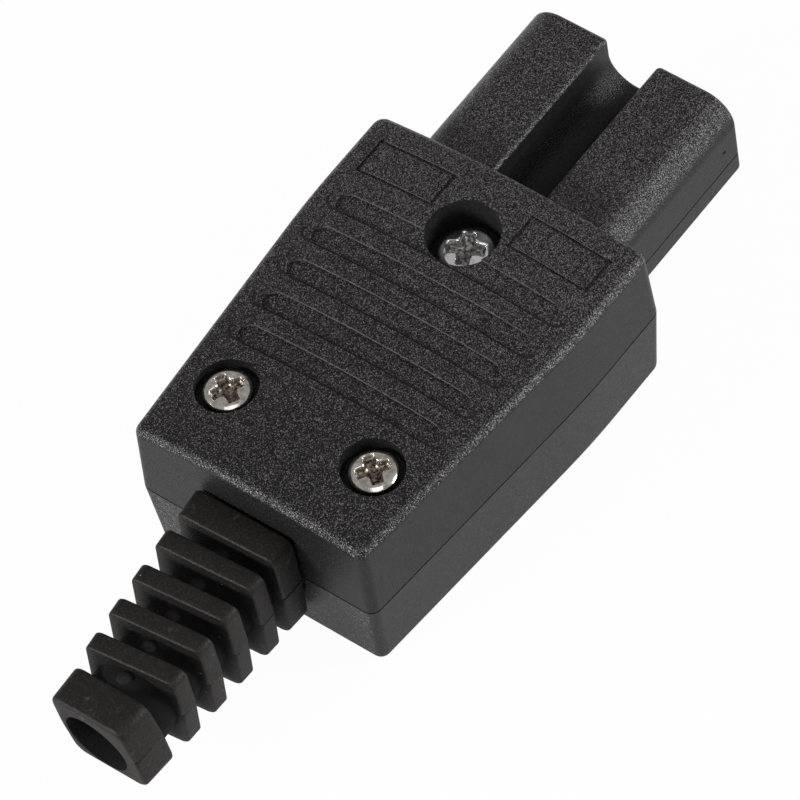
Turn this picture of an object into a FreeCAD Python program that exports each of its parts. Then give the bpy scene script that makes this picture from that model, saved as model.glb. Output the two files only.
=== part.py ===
import FreeCAD, Part
import math
import os

V = FreeCAD.Vector
X_AXIS, Y_AXIS, Z_AXIS = V(1, 0, 0), V(0, 1, 0), V(0, 0, 1)

# A rewirable cord connector with a C15 nose. All sizes are in millimetres.
# While it is built, X = 0 is the shoulder between body and nose, Y = 0 is the
# middle plane and Z = 0 is the parting plane of the two shells.

# Body outline, seen from above
body_len = 42.8
body_front_w = 32.4
body_rear_w = 27.6
taper_from = 12.0
waist_blend_r = 95.0
front_corner_r = 1.25
rear_corner_r = 1.1
inner_corner_r = 0.5

# Body heights from the parting plane, drafts and edge roundings
top_h = 10.2
base_h = 9.1
crown_r = 100.0
top_draft = 0.034
base_draft = 0.058
top_edge_r = 1.0
base_edge_r = 1.0
wall = 2.2
part_line_gap = 0.16
part_line_depth = 0.35

# Nose, the standard face that goes into a C16 inlet
nose_len = 19.2
nose_w = 23.8
nose_top_h = 7.7
nose_base_h = 8.0
nose_top_r = 3.3
nose_base_cut = 5.8
nose_edge_r = 0.6
nose_front_wall = 1.6
keyway_w = 5.9
keyway_floor_z = 2.2
keyway_lip_r = 0.5

# Grip grooves and the two bare frames in the top face
groove_count = 5
groove_w = 2.4
groove_pitch = 4.28
groove_first_x = -9.8
groove_margin = 3.4
groove_depth = 0.28
frame_len_y = 9.2
frame_len_x = 4.3
frame_side_margin = 2.6
frame_front_x = -3.0
frame_line_w = 0.38
frame_depth = 0.2

# Shell screws: radii, heads and where they stand
front_screw_x = -8.2
front_bore_r = 3.7
front_seat_depth = 4.3
front_shank_r = 1.5
front_head_r = 2.7
front_head_h = 1.95
rear_screw_inset = 8.75
rear_screw_side = 5.25
rear_bore_r = 3.15
rear_seat_depth = 2.2
rear_shank_r = 1.25
rear_head_r = 2.4
rear_head_h = 1.75
screw_end_cover = 3.1
screw_hole_clear = 0.2
head_dome_ratio = 2.4
head_rim_r = 0.6
recess_reach_ratio = 0.73
recess_arm_ratio = 0.2
recess_depth_ratio = 0.62
screw_tip_cut = 0.4
front_cross_turn = 24.0
left_cross_turn = 63.0
right_cross_turn = 54.0
front_boss_wall = 1.4
rear_boss_wall = 0.75
front_nut_boss_r = 4.15
boss_drill_tip = 0.5

# Square nuts caught in the lower bosses
nut_top_z = -2.6
front_nut_w = 5.5
front_nut_h = 1.8
rear_nut_w = 5.0
rear_nut_h = 1.6
nut_clear = 0.1
nut_corner_cut = 0.4

# Contacts for pins 4 mm high and 2 mm thick
pin_h = 4.0
pin_w = 2.0
pin_clear = 0.1
pin_slot_extra = 0.3
live_y = 7.0
live_z = 1.85
earth_drop = 4.0
contact_t = 0.6
contact_seam = 0.5
mouth_flare = 0.35
mouth_len = 1.0
sleeve_len = 12.6
pocket_clear = 0.2
pocket_end_clear = 0.2
tail_h = 2.2
tail_clear = 0.2
tail_knee = 1.0
tail_jog = 2.6
tail_short = 1.0

# Pillar terminals
live_block_front_x = -2.35
block_w = 5.6
block_len = 5.5
block_h = 6.0
block_over_wire = 2.55
block_edge_cut = 0.4
wire_hole_r = 1.7
terminal_screw_r = 1.5
terminal_screw_out = 0.7
terminal_screw_rim = 0.3
terminal_slot_w = 0.7
terminal_slot_depth = 1.1
fence_t = 0.8
fence_h = 1.6
hold_rib_t = 0.7
rib_root = 0.5
seat_clear = 0.1

# Cord clamp
clamp_w = 4.0
clamp_t = 1.8
clamp_boss_gap = 0.2
clamp_cable_clear = 0.2
clamp_head_gap = 0.2
clamp_ear_margin = 0.6
clamp_ear_r = 1.5
clamp_seat_z = -1.2
clamp_post_r = 2.6
clamp_shank_r = 1.1
clamp_shank_len = 5.0
clamp_head_r = 2.0
clamp_head_h = 1.5

# Rubber boot: collar, ribs and end block round one cable bore
cable_r = 3.6
neck_wall = 1.1
boot_fit = 0.1
flange_w = 13.0
flange_floor_gap = 0.4
flange_t = 2.2
flange_corner_r = 1.5
collar_len = 3.0
rib_count = 4
rib_t = 2.05
rib_gap = 2.0
first_gap = 1.5
end_block_len = 3.6
boot_start_half_w = 5.95
boot_start_half_h = 6.15
boot_taper = 0.052
boot_side_lean = 0.3
boot_corner_cut = 0.9
boot_edge_r = 0.35
core_wall = 0.8
bore_mouth_r = 0.3
pip_r = 0.6
pip_h = 0.25

# Locating lip of the lower shell
lip_t = 0.9
lip_h = 1.2
lip_clear = 0.15
lip_root = 0.5
lip_from_x = -12.5
lip_to_x = 14.0

# How far a cutting tool runs past a face, and a size larger than the whole part
over = 2.0
big = 200.0


def arc_outline(points, radii, place):
    """Closed wire through 2D points, with an arc of its own radius at each corner."""
    count = len(points)
    starts, ends, mids = [], [], []
    for i in range(count):
        px, py = points[i]
        ax, ay = points[i - 1]
        bx, by = points[(i + 1) % count]
        back = math.hypot(ax - px, ay - py)
        ahead = math.hypot(bx - px, by - py)
        ux, uy = (ax - px) / back, (ay - py) / back
        wx, wy = (bx - px) / ahead, (by - py) / ahead
        half = math.acos(max(-1.0, min(1.0, ux * wx + uy * wy))) / 2
        reach = radii[i] / math.tan(half)
        starts.append((px + ux * reach, py + uy * reach))
        ends.append((px + wx * reach, py + wy * reach))
        mx, my = ux + wx, uy + wy
        size = math.hypot(mx, my)
        depth = radii[i] / math.sin(half) - radii[i]
        mids.append((px + mx / size * depth, py + my / size * depth))
    edges = []
    for i in range(count):
        if radii[i] > 0:
            edges.append(Part.Arc(place(*starts[i]), place(*mids[i]), place(*ends[i])).toShape())
        after = starts[(i + 1) % count]
        if math.dist(ends[i], after) > 1e-6:
            edges.append(Part.LineSegment(place(*ends[i]), place(*after)).toShape())
    return Part.Wire(edges)


def on_z(z):
    return lambda x, y: V(x, y, z)


def on_x(x):
    return lambda y, z: V(x, y, z)


def prism(wire, direction):
    return Part.Face(wire).extrude(direction)


def box(x0, x1, y0, y1, z0, z1):
    return Part.makeBox(x1 - x0, y1 - y0, z1 - z0, V(x0, y0, z0))


def pillar(x, y, r, z0, z1):
    return Part.makeCylinder(r, z1 - z0, V(x, y, z0), Z_AXIS)


def fuse_all(shapes):
    joined = shapes[0].multiFuse(shapes[1:]) if len(shapes) > 1 else shapes[0]
    return joined.removeSplitter()


def cut_all(shape, tools):
    return shape.cut(Part.makeCompound(tools)) if tools else shape


def half_width(x):
    """Half width of the body at the parting plane, x being negative along the body."""
    slope = (body_front_w - body_rear_w) / 2 / (body_len - taper_from)
    return body_front_w / 2 - max(0.0, -x - taper_from) * slope


def body_outline(inset, z):
    """Plan of the body, straight in front and closing in to the rear."""
    wf, wr = body_front_w / 2 - inset, body_rear_w / 2 - inset
    front, rear = -inset, -body_len + inset
    points = [(front, wf), (-taper_from, wf), (rear, wr), (rear, -wr), (-taper_from, -wf), (front, -wf)]
    fr, rr = (front_corner_r, rear_corner_r) if inset < wall / 2 else (inner_corner_r, inner_corner_r)
    return arc_outline(points, [fr, waist_blend_r, rr, rr, waist_blend_r, fr], on_z(z))


def crown(inset):
    """Everything below the crowned top face, or below a face at a depth under it."""
    r = crown_r - inset
    reach = body_front_w
    top = top_h - inset
    edge_z = top - r + math.sqrt(r * r - reach * reach)
    left, right = V(-big, reach, edge_z), V(-big, -reach, edge_z)
    low_left, low_right = V(-big, reach, -big), V(-big, -reach, -big)
    edges = [Part.Arc(left, V(-big, 0, top), right).toShape(),
             Part.LineSegment(right, low_right).toShape(),
             Part.LineSegment(low_right, low_left).toShape(),
             Part.LineSegment(low_left, left).toShape()]
    return prism(Part.Wire(edges), V(2 * big, 0, 0))


def body_top(inset, height=top_h + 2.0):
    block = Part.makeLoft([body_outline(inset, 0), body_outline(inset + height * top_draft, height)], True, True)
    return block.common(crown(inset))


def body_base(inset, bottom):
    draft = bottom * base_draft
    return Part.makeLoft([body_outline(inset, 0), body_outline(inset + draft, -bottom)], True, True)


def nose_outline(inset, x):
    """Nose section: round upper corners, cut lower corners."""
    w = nose_w / 2 - inset
    top, base = nose_top_h - inset, -nose_base_h + inset
    cut = nose_base_cut - inset * 0.586
    points = [(w, top), (w, base + cut), (w - cut, base), (-w + cut, base), (-w, base + cut), (-w, top)]
    round_top = max(nose_top_r - inset, 0.3)
    return arc_outline(points, [round_top, 0.5, 0.5, 0.5, 0.5, round_top], on_x(x))


def nose_solid():
    """Whole nose, with its front edges rounded and the keyway along its top."""
    nose = prism(nose_outline(0, -wall), V(nose_len + wall, 0, 0))
    front = [e for e in nose.Edges if e.BoundBox.XMin > nose_len - 0.01]
    nose = nose.makeFillet(nose_edge_r, front)
    r = keyway_w / 2
    slot = box(0, nose_len + over, -r, r, keyway_floor_z + r, nose_top_h + over)
    floor = Part.makeCylinder(r, nose_len + over, V(0, 0, keyway_floor_z + r), X_AXIS)
    return nose.cut(slot.fuse(floor))


def round_keyway_lip(shape):
    """Break the two long upper edges of the keyway."""
    lip = [e for e in shape.Edges
           if e.BoundBox.XLength > nose_len * 0.8
           and abs(e.BoundBox.YMin - e.BoundBox.YMax) < 0.01
           and abs(abs(e.BoundBox.YMin) - keyway_w / 2) < 0.01
           and abs(e.BoundBox.ZMax - nose_top_h) < 0.01]
    return shape.makeFillet(keyway_lip_r, lip) if lip else shape


def halves(shape):
    """The part of a shape above the parting plane, and the part below it."""
    above = shape.common(box(-big, big, -big, big, 0, big))
    below = shape.common(box(-big, big, -big, big, -big, 0))
    return above, below


def fillet_face_rim(shape, face, radius):
    """Round the edges of a face, by less than the upright corners of the body."""
    return shape.makeFillet(min(radius, 0.95 * front_corner_r, 0.95 * rear_corner_r), face.Edges)


def crowned_face(shape):
    """The crowned top face, the widest face that lies high on the body."""
    high = [f for f in shape.Faces if f.BoundBox.ZMin > top_h * 0.7]
    return max(high, key=lambda f: f.Area)


def sunk(tool, depth):
    """Only what of a tool lies above a face that runs at a depth under the crown."""
    return tool.cut(crown(depth))


def grip_grooves():
    tools = []
    for i in range(groove_count):
        front = groove_first_x - i * groove_pitch
        middle = front - groove_w / 2
        reach = half_width(middle) - groove_margin
        r = groove_w / 2
        points = [(front, reach), (front - groove_w, reach), (front - groove_w, -reach), (front, -reach)]
        slot = prism(arc_outline(points, [r * 0.98] * 4, on_z(top_h - over)), V(0, 0, 2 * over))
        tools.append(sunk(slot, groove_depth))
    return tools


def frame_lines():
    tools = []
    middle = body_front_w / 2 - frame_side_margin - frame_len_y / 2
    for side in (1, -1):
        y0 = side * middle - frame_len_y / 2
        y1 = side * middle + frame_len_y / 2
        x0, x1 = frame_front_x - frame_len_x, frame_front_x
        outer = box(x0, x1, y0, y1, top_h - over, top_h + over)
        line = frame_line_w
        inner = box(x0 + line, x1 - line, y0 + line, y1 - line, top_h - big, top_h + big)
        tools.append(sunk(outer.cut(inner), frame_depth))
    return tools


# Screws and bosses stand at set distances from the ends and sides of the body
rear_screw_x = rear_screw_inset - body_len
rear_screw_y = body_rear_w / 2 - rear_screw_side
front_seat_z = top_h - front_seat_depth
rear_seat_z = top_h - rear_seat_depth
screw_end_z = screw_end_cover - base_h
rear_boss_r = rear_bore_r + rear_boss_wall
front_boss_r = front_bore_r + front_boss_wall

shell_screws = [
    ("front", front_screw_x, 0.0, front_bore_r, front_seat_z, front_shank_r, front_boss_r, front_nut_boss_r),
    ("left", rear_screw_x, rear_screw_y, rear_bore_r, rear_seat_z, rear_shank_r, rear_boss_r, rear_boss_r),
    ("right", rear_screw_x, -rear_screw_y, rear_bore_r, rear_seat_z, rear_shank_r, rear_boss_r, rear_boss_r),
]
nuts = {
    "front": (front_nut_w, front_nut_h, -1),
    "left": (rear_nut_w, rear_nut_h, 1),
    "right": (rear_nut_w, rear_nut_h, 1),
}
heads = {
    "front": (front_head_r, front_head_h, front_cross_turn),
    "left": (rear_head_r, rear_head_h, left_cross_turn),
    "right": (rear_head_r, rear_head_h, right_cross_turn),
}

# Sleeves round the pins, and the wire holes of the terminals in line with them
earth_z = live_z - earth_drop
sleeve_half_w = pin_w / 2 + pin_clear + contact_t
sleeve_half_h = pin_h / 2 + pin_clear + contact_t
sleeve_front_x = nose_len - nose_front_wall - pocket_end_clear
sleeve_rear_x = sleeve_front_x - sleeve_len

# Live terminals midway between front boss and side wall, earth terminal behind the boss
live_block_y = (front_boss_r + body_front_w / 2 - wall) / 2
tail_room = contact_t + 2 * tail_clear
earth_tail_y = front_nut_boss_r + tail_room / 2
earth_block_front_x = front_screw_x - front_nut_boss_r - tail_room
terminals = {
    "line": (live_block_y, live_block_front_x, live_z),
    "neutral": (-live_block_y, live_block_front_x, live_z),
    "earth": (0.0, earth_block_front_x, earth_z),
}

# Cord clamp just in front of the rear bosses, its screws clear of its arch
neck_half = cable_r + neck_wall
clamp_x = rear_screw_x + rear_boss_r + clamp_boss_gap + clamp_w / 2
clamp_arch_r = cable_r + clamp_cable_clear
clamp_screw_y = clamp_arch_r + clamp_t + clamp_head_gap + clamp_head_r
clamp_half_len = clamp_screw_y + clamp_head_r + clamp_ear_margin


def contact_pockets():
    """Room for the three sleeves in the nose, and the pin slots in its front wall."""
    tools = []
    for y, z in ((live_y, live_z), (-live_y, live_z), (0.0, earth_z)):
        w, h = sleeve_half_w + pocket_clear, sleeve_half_h + pocket_clear
        tools.append(box(sleeve_rear_x - pocket_end_clear, nose_len - nose_front_wall, y - w, y + w, z - h, z + h))
        w, h = pin_w / 2 + pin_slot_extra, pin_h / 2 + pin_slot_extra
        tools.append(box(nose_len - nose_front_wall - over, nose_len + over, y - w, y + w, z - h, z + h))
    return tools


def live_tail_path(side):
    """Tail of a live contact in plan, from its outer sleeve wall out to its block."""
    y0 = side * (sleeve_half_w - contact_t / 2 + live_y)
    y1 = side * live_block_y
    knee = sleeve_rear_x - tail_knee
    return [(sleeve_rear_x, y0), (knee, y0), (knee - tail_jog, y1), (live_block_front_x - block_len + tail_short, y1)]


def earth_tail_path():
    """Tail of the earth contact, round the front boss to the block behind it."""
    y0 = sleeve_half_w - contact_t / 2
    rise_x = front_screw_x + front_nut_boss_r
    fall_x = earth_block_front_x + tail_room / 2
    return [(sleeve_rear_x, y0), (rise_x + tail_jog, y0), (rise_x, earth_tail_y), (fall_x, earth_tail_y),
            (fall_x, 0.0), (earth_block_front_x - block_len + tail_short, 0.0)]


def strip(path, thickness, z0, z1):
    """Bent strip of one thickness standing on edge along a path in plan."""
    left, right = [], []
    last = len(path) - 1
    for i, (x, y) in enumerate(path):
        ax, ay = path[max(i - 1, 0)]
        bx, by = path[min(i + 1, last)]
        before = math.atan2(y - ay, x - ax) if i > 0 else math.atan2(by - y, bx - x)
        after = math.atan2(by - y, bx - x) if i < last else before
        turn = after - before
        normal = before + turn / 2 + math.pi / 2
        reach = thickness / 2 / math.cos(turn / 2)
        left.append(V(x + math.cos(normal) * reach, y + math.sin(normal) * reach, z0))
        right.append(V(x - math.cos(normal) * reach, y - math.sin(normal) * reach, z0))
    loop = left + right[::-1]
    return prism(Part.makePolygon(loop + [loop[0]]), V(0, 0, z1 - z0))


def tail_channels():
    """Ways for the tails, open at the parting plane: through the root of the nose for
    the live pair, and all the way to its block for the earth."""
    tools = []
    through = box(-wall - base_h * base_draft - tail_clear, big, -big, big, -big, big)
    for side in (1, -1):
        z1 = live_z + tail_h / 2 + tail_clear
        tools.append(strip(live_tail_path(side), contact_t + 2 * tail_clear, -0.01, z1).common(through))
    z0 = earth_z - tail_h / 2 - tail_clear
    before_block = box(earth_block_front_x, big, -big, big, -big, big)
    tools.append(strip(earth_tail_path(), contact_t + 2 * tail_clear, z0, 0.01).common(before_block))
    return tools


def boot_opening():
    """Opening in the rear wall that the neck of the boot sits in."""
    half = neck_half + boot_fit
    return box(-body_len - over, -body_len + wall + over, -half, half, -half, half)


def part_line_groove():
    """Fine step round the upper shell where the two shells meet."""
    slab = box(-body_len - over, nose_len + over, -body_front_w, body_front_w, 0, part_line_gap)
    inner_body = prism(body_outline(part_line_depth, -over), V(0, 0, 2 * over))
    reach = nose_w / 2 - part_line_depth
    inner_nose = box(-wall * 2, nose_len - part_line_depth, -reach, reach, -over, over)
    return slab.cut(inner_body.fuse(inner_nose))


def lip_ring(grow, height):
    """Locating lip along both sides, standing on the inner edge of the lower wall."""
    outer = prism(body_outline(wall - lip_t - grow, -lip_root), V(0, 0, height + lip_root))
    inner = prism(body_outline(wall, -over), V(0, 0, height + 2 * over))
    band = box(lip_to_x - body_len - grow, lip_from_x + grow, -big, big, -over, height)
    return outer.cut(inner).common(band)


def upper_shell():
    body = body_top(0)
    body = fillet_face_rim(body, crowned_face(body), top_edge_r)
    nose, _ = halves(nose_solid())
    nose = round_keyway_lip(nose)
    shell = body.fuse(nose)
    ceiling = body_top(rib_root)
    solids = [shell.cut(body_top(wall))]
    cuts = []
    for name, x, y, bore_r, seat_z, shank_r, upper_r, lower_r in shell_screws:
        solids.append(pillar(x, y, upper_r, 0, top_h).common(ceiling))
        cuts.append(pillar(x, y, bore_r, seat_z, top_h + over))
        cuts.append(pillar(x, y, shank_r + screw_hole_clear, -over, seat_z))
    for name in ("line", "neutral"):
        y, front_x, wire_z = terminals[name]
        hold_z = wire_z + block_over_wire + seat_clear
        for x in (front_x, front_x - block_len + hold_rib_t):
            rib = box(x - hold_rib_t, x, y - block_w / 2, y + block_w / 2, hold_z, top_h)
            solids.append(rib.common(ceiling))
        cuts.append(block_room(y, front_x, wire_z))
    shell = fuse_all(solids)
    cuts += contact_pockets() + tail_channels() + grip_grooves() + frame_lines()
    cuts += [boot_opening(), part_line_groove(), lip_ring(lip_clear, lip_h + lip_clear)]
    return cut_all(shell, cuts).removeSplitter()


def block_room(y, front_x, wire_z):
    """Clear room for a terminal block, from its seat up to just above its top."""
    half = block_w / 2 + seat_clear
    top_z = wire_z + block_over_wire
    return box(front_x - block_len - seat_clear, front_x + seat_clear, y - half, y + half,
               top_z - block_h, top_z + seat_clear)


def block_cradle(y, front_x, wire_z):
    """Pad under a terminal block, and low fences at its sides and behind it."""
    seat_z = wire_z + block_over_wire - block_h
    root_z = -base_h + wall - rib_root
    half = block_w / 2 + seat_clear + fence_t
    x0 = front_x - block_len - seat_clear - fence_t
    return box(x0, front_x, y - half, y + half, root_z, seat_z + fence_h)


def lower_shell():
    body = body_base(0, base_h)
    bottom = min(body.Faces, key=lambda f: f.CenterOfMass.z)
    body = fillet_face_rim(body, bottom, base_edge_r)
    _, nose = halves(nose_solid())
    cavity = body_base(wall, base_h - wall)
    shell = body.fuse(nose).cut(cavity)
    inside = body_base(rib_root, base_h - rib_root)
    root_z = -base_h + wall - rib_root
    solids = [shell]
    cuts = []
    for name, x, y, bore_r, seat_z, shank_r, upper_r, lower_r in shell_screws:
        solids.append(pillar(x, y, lower_r, -base_h, 0).common(inside))
        hole_r = shank_r + screw_hole_clear
        cuts.append(pillar(x, y, hole_r, screw_end_z - boss_drill_tip, over))
        width, height, way = nuts[name]
        half = width / 2 + nut_clear
        reach = lower_r + nut_clear
        x0, x1 = (x - half, x + reach) if way > 0 else (x - reach, x + half)
        cuts.append(box(x0, x1, y - half, y + half, nut_top_z - height, nut_top_z + nut_clear))
    for y, front_x, wire_z in terminals.values():
        solids.append(block_cradle(y, front_x, wire_z).common(inside))
        cuts.append(block_room(y, front_x, wire_z))
    x0, x1 = clamp_x - clamp_w / 2, clamp_x + clamp_w / 2
    cradle = box(x0, x1, -clamp_screw_y, clamp_screw_y, root_z, clamp_seat_z)
    solids.append(cradle.cut(Part.makeCylinder(clamp_arch_r, 2 * big, V(-big, 0, 0), X_AXIS)))
    for side in (1, -1):
        y = side * clamp_screw_y
        solids.append(pillar(clamp_x, y, clamp_post_r, root_z, clamp_seat_z))
        cuts.append(pillar(clamp_x, y, clamp_shank_r, clamp_seat_z - clamp_shank_len, over))
    solids.append(lip_ring(0, lip_h))
    shell = fuse_all(solids)
    cuts += contact_pockets() + tail_channels() + [boot_opening()]
    return cut_all(shell, cuts).removeSplitter()


def cross_bar(head_r, top, depth, turn):
    """One of the two bars of a cross recess, narrowing on its way down."""
    reach, arm = head_r * recess_reach_ratio, head_r * recess_arm_ratio
    rings = []
    for long_half, wide_half, z in ((reach, arm, top + 0.1), (reach * 0.5, arm * 0.7, top - depth)):
        ring = [V(-long_half, -wide_half, z), V(long_half, -wide_half, z), V(long_half, wide_half, z),
                V(-long_half, wide_half, z)]
        rings.append(Part.makePolygon(ring + ring[:1]))
    bar = Part.makeLoft(rings, True, True)
    bar.rotate(V(0, 0, 0), Z_AXIS, turn)
    return bar


def pan_head_screw(x, y, seat_z, shank_r, head_r, head_h, end_z, cross_turn=0.0):
    """Pan head screw with a cross recess. The thread is left as a plain cylinder."""
    top = seat_z + head_h
    dome_r = head_r * head_dome_ratio
    rim_r = head_rim_r
    rim_z = top - dome_r + math.sqrt((dome_r - rim_r) ** 2 - (head_r - rim_r) ** 2)
    lean = math.atan2(head_r - rim_r, rim_z - (top - dome_r))
    meet = V(dome_r * math.sin(lean), 0, top - dome_r + dome_r * math.cos(lean))
    half = (math.pi / 2 + lean) / 2
    rim_mid = V(head_r - rim_r + rim_r * math.sin(half), 0, rim_z + rim_r * math.cos(half))
    dome_mid = V(dome_r * math.sin(lean / 2), 0, top - dome_r + dome_r * math.cos(lean / 2))
    corners = [V(0, 0, top), V(0, 0, end_z), V(shank_r - screw_tip_cut, 0, end_z),
               V(shank_r, 0, end_z + screw_tip_cut), V(shank_r, 0, seat_z), V(head_r, 0, seat_z),
               V(head_r, 0, rim_z)]
    profile = [Part.LineSegment(a, b).toShape() for a, b in zip(corners, corners[1:])]
    profile.append(Part.Arc(V(head_r, 0, rim_z), rim_mid, meet).toShape())
    profile.append(Part.Arc(meet, dome_mid, V(0, 0, top)).toShape())
    solid = Part.Face(Part.Wire(profile)).revolve(V(0, 0, 0), Z_AXIS, 360)
    bars = [cross_bar(head_r, top, head_h * recess_depth_ratio, cross_turn + turn) for turn in (0, 90)]
    solid = solid.cut(bars[0].fuse(bars[1]))
    solid.translate(V(x, y, 0))
    return solid


def square_nut(x, y, width, height, hole_r):
    half = width / 2
    nut = box(x - half, x + half, y - half, y + half, nut_top_z - height, nut_top_z)
    corners = [e for e in nut.Edges if e.BoundBox.ZLength > height - 0.01]
    nut = nut.makeChamfer(nut_corner_cut, corners)
    return nut.cut(pillar(x, y, hole_r, nut_top_z - height - over, nut_top_z + over))


def sleeve(y, z):
    """Folded sleeve for a flat pin: an open seam below, the mouth bell-shaped."""
    w, h = sleeve_half_w, sleeve_half_h
    iw, ih = w - contact_t, h - contact_t
    x0, x1 = sleeve_rear_x, sleeve_front_x
    tube = box(x0, x1, y - w, y + w, z - h, z + h)
    bore = box(x0 - over, x1 + over, y - iw, y + iw, z - ih, z + ih)
    half = contact_seam / 2
    seam = box(x0 - over, x1 + over, y - half, y + half, z - h - over, z)
    rings = []
    for x, grow in ((x1, mouth_flare), (x1 - mouth_len, 0.0)):
        a, b = iw + grow, ih + grow
        ring = [V(x, y - a, z - b), V(x, y + a, z - b), V(x, y + a, z + b), V(x, y - a, z + b)]
        rings.append(Part.makePolygon(ring + ring[:1]))
    return tube.cut(bore).cut(seam).cut(Part.makeLoft(rings, True, True))


def contact(y, z, path):
    tail = strip(path, contact_t, z - tail_h / 2, z + tail_h / 2)
    return sleeve(y, z).fuse(tail).removeSplitter()


def terminal_block(y, front_x, wire_z):
    """Brass block with a wire hole through it and a threaded hole down into that."""
    top_z = wire_z + block_over_wire
    rear_x = front_x - block_len
    block = box(rear_x, front_x, y - block_w / 2, y + block_w / 2, top_z - block_h, top_z)
    long_edges = [e for e in block.Edges if e.BoundBox.XLength > block_len - 0.1]
    block = block.makeChamfer(block_edge_cut, long_edges)
    wire = Part.makeCylinder(wire_hole_r, block_len + 2 * over, V(rear_x - over, y, wire_z), X_AXIS)
    screw = pillar(front_x - block_len / 2, y, terminal_screw_r, wire_z, top_z + over)
    return block.cut(wire).cut(screw)


def terminal_screw(y, front_x, wire_z):
    """Slotted set screw of a terminal, its tip on the tail of the contact."""
    x = front_x - block_len / 2
    top_z = wire_z + block_over_wire + terminal_screw_out
    screw = pillar(x, y, terminal_screw_r, wire_z + tail_h / 2, top_z)
    rim = [e for e in screw.Edges if e.BoundBox.ZMin > top_z - 0.01]
    screw = screw.makeChamfer(terminal_screw_rim, rim)
    half = terminal_slot_w / 2
    return screw.cut(box(x - over, x + over, y - half, y + half, top_z - terminal_slot_depth, top_z + over))


def cord_clamp():
    """Arched strap over the cord, with a flat ear for a screw at each end."""
    x0 = clamp_x - clamp_w / 2
    ears = box(x0, x0 + clamp_w, -clamp_half_len, clamp_half_len, clamp_seat_z, clamp_seat_z + clamp_t)
    corners = [e for e in ears.Edges if e.BoundBox.ZLength > clamp_t - 0.01]
    ears = ears.makeFillet(clamp_ear_r, corners)
    arch = Part.makeCylinder(clamp_arch_r + clamp_t, clamp_w, V(x0, 0, 0), X_AXIS)
    arch = arch.common(box(x0, x0 + clamp_w, -big, big, clamp_seat_z, big))
    hollow = Part.makeCylinder(clamp_arch_r, clamp_w + 2 * over, V(x0 - over, 0, 0), X_AXIS)
    strap = ears.fuse(arch).cut(hollow)
    for side in (1, -1):
        hole = pillar(clamp_x, side * clamp_screw_y, clamp_shank_r + screw_hole_clear, clamp_seat_z - over, over)
        strap = strap.cut(hole)
    return strap.removeSplitter()


def clamp_screw(side):
    seat = clamp_seat_z + clamp_t
    y = side * clamp_screw_y
    return pan_head_screw(clamp_x, y, seat, clamp_shank_r, clamp_head_r, clamp_head_h, clamp_seat_z - clamp_shank_len)


def boot_section(half_w, half_h, x):
    """Boot section: cut corners, and sides widest at the mould line."""
    lean, cut = boot_side_lean, boot_corner_cut
    w, h = half_w, half_h
    quarter = [(w, 0.0), (w - lean, h - cut), (w - lean - cut, h)]
    upper = quarter + [(-y, z) for y, z in reversed(quarter)]
    lower = [(y, -z) for y, z in upper[1:-1]]
    points = upper + lower[::-1]
    r = boot_edge_r
    return arc_outline(points, [0.0, r, r, r, r, 0.0, r, r, r, r], on_x(x))


def boot_half_sizes(x):
    shrink = (-body_len - x) * boot_taper
    return boot_start_half_w - shrink, boot_start_half_h - shrink


def boot_slice(x0, x1):
    """One collar, rib or end block between two planes, tapering to the rear."""
    w0, h0 = boot_half_sizes(x0)
    w1, h1 = boot_half_sizes(x1)
    return Part.makeLoft([boot_section(w0, h0, x0), boot_section(w1, h1, x1)], True, True)


def boot_stations():
    """Start and end of the collar, each rib and the end block, front to rear."""
    start = -body_len - boot_fit
    spans = [(start, start - collar_len)]
    x = start - collar_len - first_gap
    for i in range(rib_count):
        spans.append((x, x - rib_t))
        x -= rib_t + rib_gap
    spans.append((x, x - end_block_len))
    return spans


def cord_boot():
    spans = boot_stations()
    solids = [boot_slice(a, b) for a, b in spans]
    rear_x = spans[-1][1]
    flange_h = 2 * (base_h - wall - flange_floor_gap)
    core_half = cable_r + core_wall
    core = [boot_section(core_half, core_half, x) for x in (spans[0][1] + over / 2, rear_x + over / 2)]
    solids.append(Part.makeLoft(core, True, True))
    inner_x = -body_len + wall + flange_h / 2 * base_draft + boot_fit
    neck_from = spans[0][1] + over / 2
    solids.append(box(neck_from, inner_x + flange_t / 2, -neck_half, neck_half, -neck_half, neck_half))
    flange = box(inner_x, inner_x + flange_t, -flange_w / 2, flange_w / 2, -flange_h / 2, flange_h / 2)
    corners = [e for e in flange.Edges if e.BoundBox.XLength > flange_t - 0.01]
    solids.append(flange.makeFillet(flange_corner_r, corners))
    for (a0, a1), (b0, b1) in zip(spans, spans[1:]):
        middle = (a1 + b0) / 2
        for z0, z1 in ((core_half - pip_h, core_half + pip_h), (-core_half - pip_h, pip_h - core_half)):
            solids.append(pillar(middle, 0, pip_r, z0, z1))
    boot = fuse_all(solids)
    boot = boot.cut(Part.makeCylinder(cable_r, 2 * big, V(-big, 0, 0), X_AXIS))
    mouth = [e for e in boot.Edges if e.BoundBox.XMax < rear_x + 0.01 and hasattr(e.Curve, "Radius")
             and abs(e.Curve.Radius - cable_r) < 0.01]
    return boot.makeFillet(bore_mouth_r, mouth)


parts = {
    "upper_shell": upper_shell(),
    "lower_shell": lower_shell(),
    "cord_boot": cord_boot(),
    "cord_clamp": cord_clamp(),
    "clamp_screw_left": clamp_screw(1),
    "clamp_screw_right": clamp_screw(-1),
}
for name, x, y, bore_r, seat_z, shank_r, upper_r, lower_r in shell_screws:
    head_r, head_h, cross_turn = heads[name]
    parts["shell_screw_" + name] = pan_head_screw(x, y, seat_z, shank_r, head_r, head_h, screw_end_z, cross_turn)
    width, height, way = nuts[name]
    parts["nut_" + name] = square_nut(x, y, width, height, shank_r)

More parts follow.
